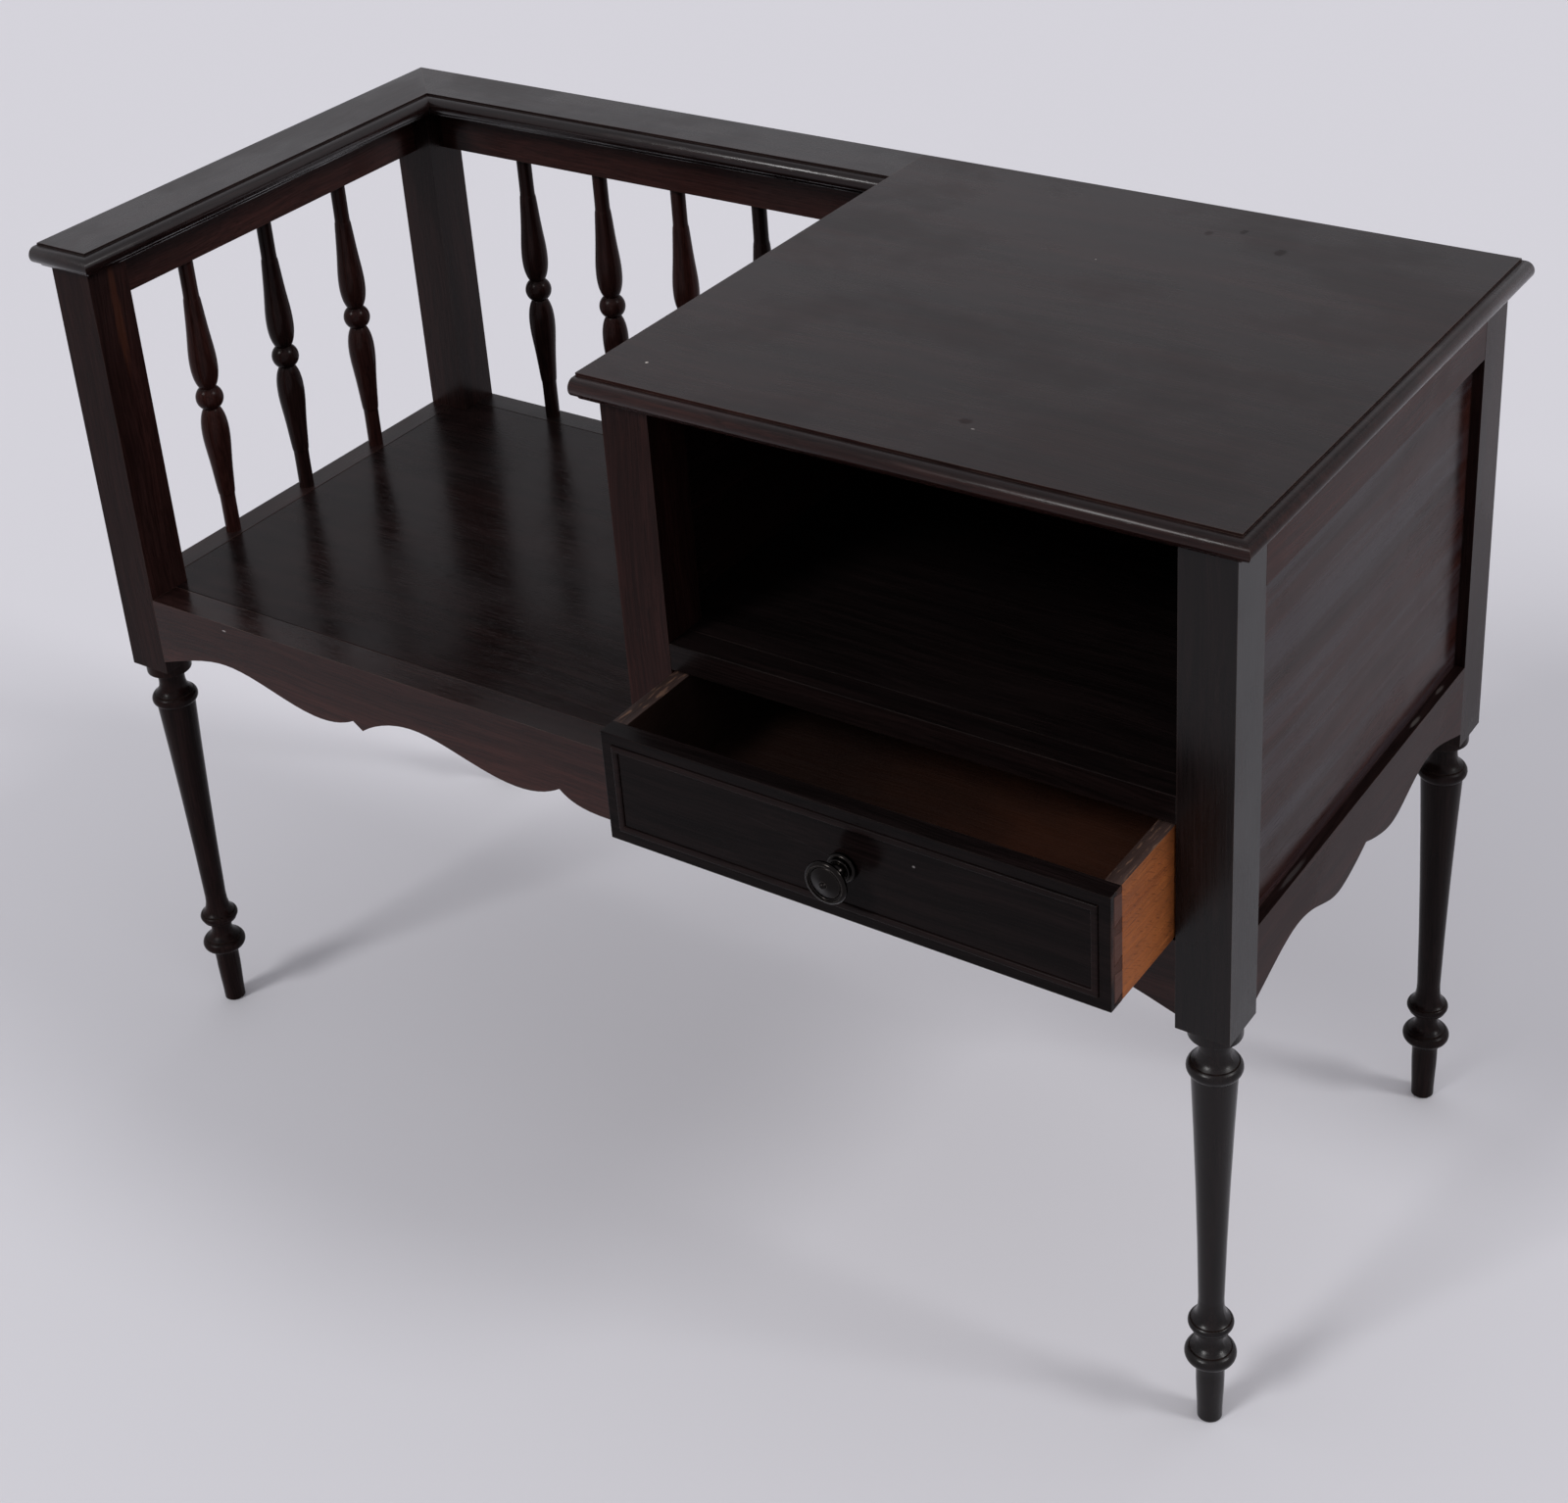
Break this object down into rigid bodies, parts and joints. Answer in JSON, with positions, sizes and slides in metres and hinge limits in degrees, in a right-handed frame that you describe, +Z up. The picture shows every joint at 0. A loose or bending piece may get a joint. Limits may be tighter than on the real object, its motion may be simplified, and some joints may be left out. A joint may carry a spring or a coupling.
{
  "type": "telephone bench",
  "caption": "Long wooden seat on turned legs, with a turned-spindle arm and back and a small end cabinet that has an open shelf over a sliding drawer.",
  "frame": {"origin": "on the floor, under the middle of the bench's bounding box with the drawer as it stands, part open", "axes": "+X along the bench towards its cabinet end, +Y to its back, +Z up"},
  "size_m": [1.0206, 0.5558, 0.732],
  "materials": {
    "stained_wood": "dark brown-red stain under worn satin polish",
    "drawer_wood": "bare reddish wood, unpolished",
    "inner_wood": "bare wood, unpolished",
    "knob_brass": "blackened and polished by handling",
    "screw_steel": "dull"
  },
  "bodies": {
    "bench": {"arm_cap": "stained_wood", "arm_rail": "stained_wood", "arm_spindle_1": "stained_wood", "arm_spindle_2": "stained_wood", "arm_spindle_3": "stained_wood", "back_cap": "stained_wood", "back_left_post": "stained_wood", "back_right_post": "stained_wood", "back_seat_cleat": "inner_wood", "back_seat_rail": "stained_wood", "back_spindle_1": "stained_wood", "back_spindle_2": "stained_wood", "back_spindle_3": "stained_wood", "back_spindle_4": "stained_wood", "back_spindle_5": "stained_wood", "back_top_rail": "stained_wood", "cabinet_back_panel": "stained_wood", "cabinet_back_post": "stained_wood", "cabinet_back_top_rail": "stained_wood", "cabinet_floor": "inner_wood", "cabinet_front_post": "stained_wood", "cabinet_left_bottom_rail": "stained_wood", "cabinet_left_panel": "stained_wood", "cabinet_left_top_rail": "stained_wood", "cabinet_top": "stained_wood", "cleat_screws": "screw_steel", "drawer_stops": "inner_wood", "front_apron": "stained_wood", "front_left_post": "stained_wood", "front_right_post": "stained_wood", "front_seat_cleat": "inner_wood", "glue_blocks": "inner_wood", "left_apron": "stained_wood", "left_drawer_guide": "inner_wood", "left_kicker": "inner_wood", "left_seat_cleat": "inner_wood", "right_apron": "stained_wood", "right_drawer_guide": "inner_wood", "right_kicker": "inner_wood", "right_panel": "stained_wood", "right_seat_cleat": "inner_wood", "right_top_rail": "stained_wood", "seat_bearer": "inner_wood", "seat_board": "stained_wood", "shelf_board": "stained_wood", "shelf_rail": "stained_wood"},
    "drawer": {"drawer_back": "drawer_wood", "drawer_bead": "stained_wood", "drawer_bottom": "drawer_wood", "drawer_bottom_screws": "screw_steel", "drawer_front": "stained_wood", "drawer_knob": "knob_brass", "drawer_left_side": "drawer_wood", "drawer_right_side": "drawer_wood", "knob_screw": "screw_steel"}
  },
  "joints": [
    {"name": "drawer_slide", "type": "slide", "parent": "bench", "child": "drawer", "axis": [0, -1, 0], "range_m": [-0.084, 0.216]}
  ]
}
